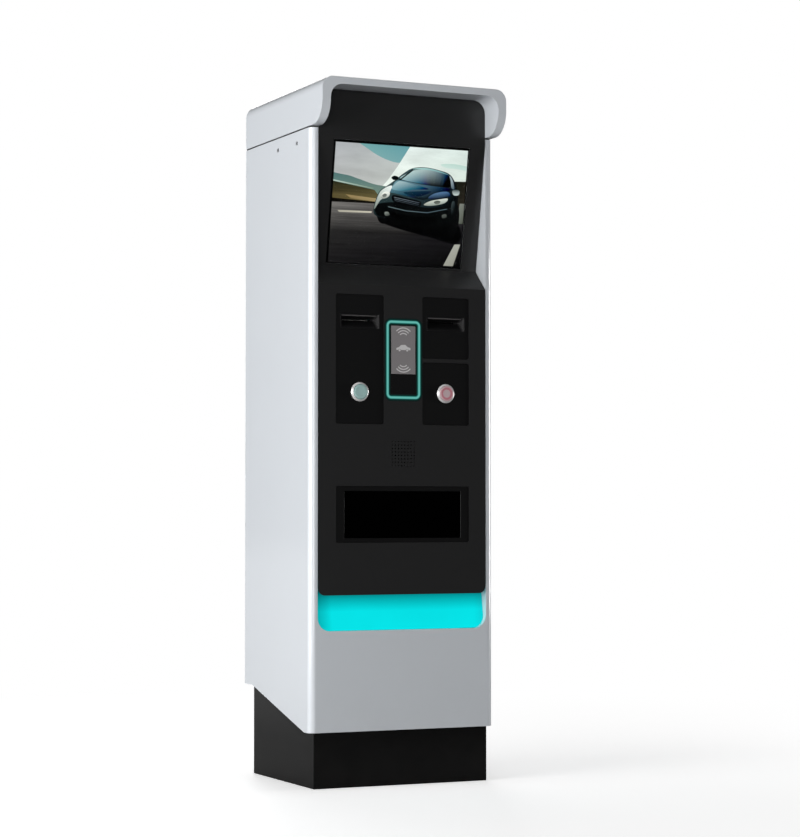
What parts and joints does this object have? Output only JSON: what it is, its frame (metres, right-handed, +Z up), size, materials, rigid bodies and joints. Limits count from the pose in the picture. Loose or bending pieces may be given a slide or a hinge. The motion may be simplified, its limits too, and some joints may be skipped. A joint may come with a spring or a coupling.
{
  "type": "parking pay station",
  "caption": "Free-standing parking pay station: silver cabinet on a black plinth, hooded canopy, black fascia with leaning screen, ticket and card mouths, light bar and rear service door.",
  "frame": {"origin": "centre of the floor anchor pattern, on the floor, under the middle of the cabinet", "axes": "+Z up, -Y towards the user, +X to the user's right"},
  "size_m": [0.4116, 0.4285, 1.419],
  "materials": {
    "silver_paint": "fine textured powder coat, semi-gloss silver-white",
    "black_paint": "powder coat, matte black",
    "fascia_black": "powder coat, satin black",
    "module_black": "satin black",
    "mouth_black": "smooth dark grey",
    "black_rubber": "matte",
    "zinc_steel": "zinc plated, satin",
    "spring_steel": "drawn wire",
    "front_glass": "clear, polished",
    "screen_picture": "lit liquid crystal panel",
    "display_case": "sheet, satin",
    "teal_light": "translucent, lit from behind",
    "reader_gloss": "polished black",
    "label_grey": "printed film",
    "icon_white": "printed film",
    "board_green": "solder mask",
    "frame_black": "satin",
    "smoked_window": "smoked, polished",
    "cyan_diffuser": "translucent, lit from behind",
    "led_strip": "white board",
    "speaker_black": "moulded",
    "cone_paper": "pressed fibre",
    "bezel_metal": "satin chrome",
    "switch_black": "moulded",
    "button_green": "translucent green",
    "button_red": "translucent red",
    "head_grey": "moulded",
    "ticket_paper": "thermal paper",
    "platen_rubber": "ground",
    "reader_grey": "moulded",
    "hopper_grey": "moulded",
    "supply_case": "perforated sheet",
    "breaker_white": "moulded",
    "lever_blue": "moulded",
    "terminal_grey": "moulded",
    "cable_black": "sheathed cable",
    "lock_chrome": "polished",
    "cam_steel": "passivated",
    "fan_black": "moulded"
  },
  "bodies": {
    "cabinet": {"base_plate": "black_paint", "plinth": "black_paint", "cabinet_floor": "zinc_steel", "floor_grommet": "black_rubber", "cabinet_shell": "silver_paint", "rear_frame": "silver_paint", "door_gasket": "black_rubber", "canopy_gasket": "black_rubber", "canopy": "silver_paint", "canopy_screws": "zinc_steel", "fascia": "fascia_black", "screen_glass": "front_glass", "lcd_panel": "screen_picture", "lcd_housing": "display_case", "ticket_plate": "module_black", "ticket_mouth": "mouth_black", "card_plate": "module_black", "card_mouth": "mouth_black", "intercom_plate": "module_black", "reader_ring_light": "teal_light", "reader_window": "reader_gloss", "reader_label": "label_grey", "reader_icons": "icon_white", "reader_board": "board_green", "led_frame": "frame_black", "led_window": "smoked_window", "led_board": "board_green", "light_bar_diffuser": "cyan_diffuser", "light_bar_strip": "led_strip", "speaker_basket": "speaker_black", "speaker_cone": "cone_paper", "button_bezels": "bezel_metal", "button_housings": "switch_black", "green_button_spring": "spring_steel", "red_button_spring": "spring_steel", "printer_chassis": "zinc_steel", "print_head": "head_grey", "paper_web": "ticket_paper", "card_reader_body": "reader_grey", "card_hopper": "hopper_grey", "equipment_plate": "zinc_steel", "controller_board": "board_green", "power_supply": "supply_case", "circuit_breaker": "breaker_white", "terminal_block": "terminal_grey", "wiring_loom": "cable_black", "hinge_frame_leaves": "zinc_steel", "hinge_pins": "zinc_steel"},
    "rear_door": {"rear_door": "silver_paint", "hinge_door_leaves": "zinc_steel", "lock_body": "lock_chrome", "fan_frame": "fan_black"},
    "lock_cam": {"lock_cam": "cam_steel"},
    "fan_rotor": {"fan_rotor": "fan_black"},
    "green_button": {"green_button_cap": "button_green"},
    "red_button": {"red_button_cap": "button_red"},
    "platen_roller": {"platen_roller": "platen_rubber"},
    "paper_roll": {"paper_roll": "ticket_paper"},
    "card_feed_roller": {"card_feed_roller": "platen_rubber"},
    "breaker_lever": {"breaker_lever": "lever_blue"}
  },
  "joints": [
    {"name": "rear_door_hinge", "type": "hinge", "parent": "cabinet", "child": "rear_door", "pos_m": [0.179, 0.1835, 0.755], "axis": [0, 0, -1], "range_deg": [0, 115]},
    {"name": "lock_turn", "type": "hinge", "parent": "rear_door", "child": "lock_cam", "pos_m": [-0.155, 0.165, 0.77], "axis": [0, -1, 0], "range_deg": [0, 90]},
    {"name": "fan_spin", "type": "hinge", "parent": "rear_door", "child": "fan_rotor", "pos_m": [0, 0.165, 1.2], "axis": [0, 1, 0], "continuous": true},
    {"name": "green_button_press", "type": "slide", "parent": "cabinet", "child": "green_button", "axis": [0, 1, 0], "range_m": [0, 0.004], "stiffness_N_per_m": 600, "springref_m": -0.002, "deforming": ["green_button_spring"]},
    {"name": "red_button_press", "type": "slide", "parent": "cabinet", "child": "red_button", "axis": [0, 1, 0], "range_m": [0, 0.004], "stiffness_N_per_m": 600, "springref_m": -0.002, "deforming": ["red_button_spring"]},
    {"name": "paper_roll_spin", "type": "hinge", "parent": "cabinet", "child": "paper_roll", "pos_m": [-0.09625, -0.085, 0.896], "axis": [1, 0, 0], "continuous": true},
    {"name": "platen_spin", "type": "hinge", "parent": "cabinet", "child": "platen_roller", "pos_m": [-0.09625, -0.138, 0.9472], "axis": [1, 0, 0], "continuous": true},
    {"name": "card_feed_spin", "type": "hinge", "parent": "cabinet", "child": "card_feed_roller", "pos_m": [0.09625, -0.112, 0.9486], "axis": [1, 0, 0], "continuous": true},
    {"name": "breaker_throw", "type": "hinge", "parent": "cabinet", "child": "breaker_lever", "pos_m": [-0.122, 0.096, 0.304], "axis": [1, 0, 0], "range_deg": [0, 45]}
  ],
  "couplings": [
    {"joint": "platen_spin", "follows": "paper_roll_spin", "ratio": -6.25}
  ]
}
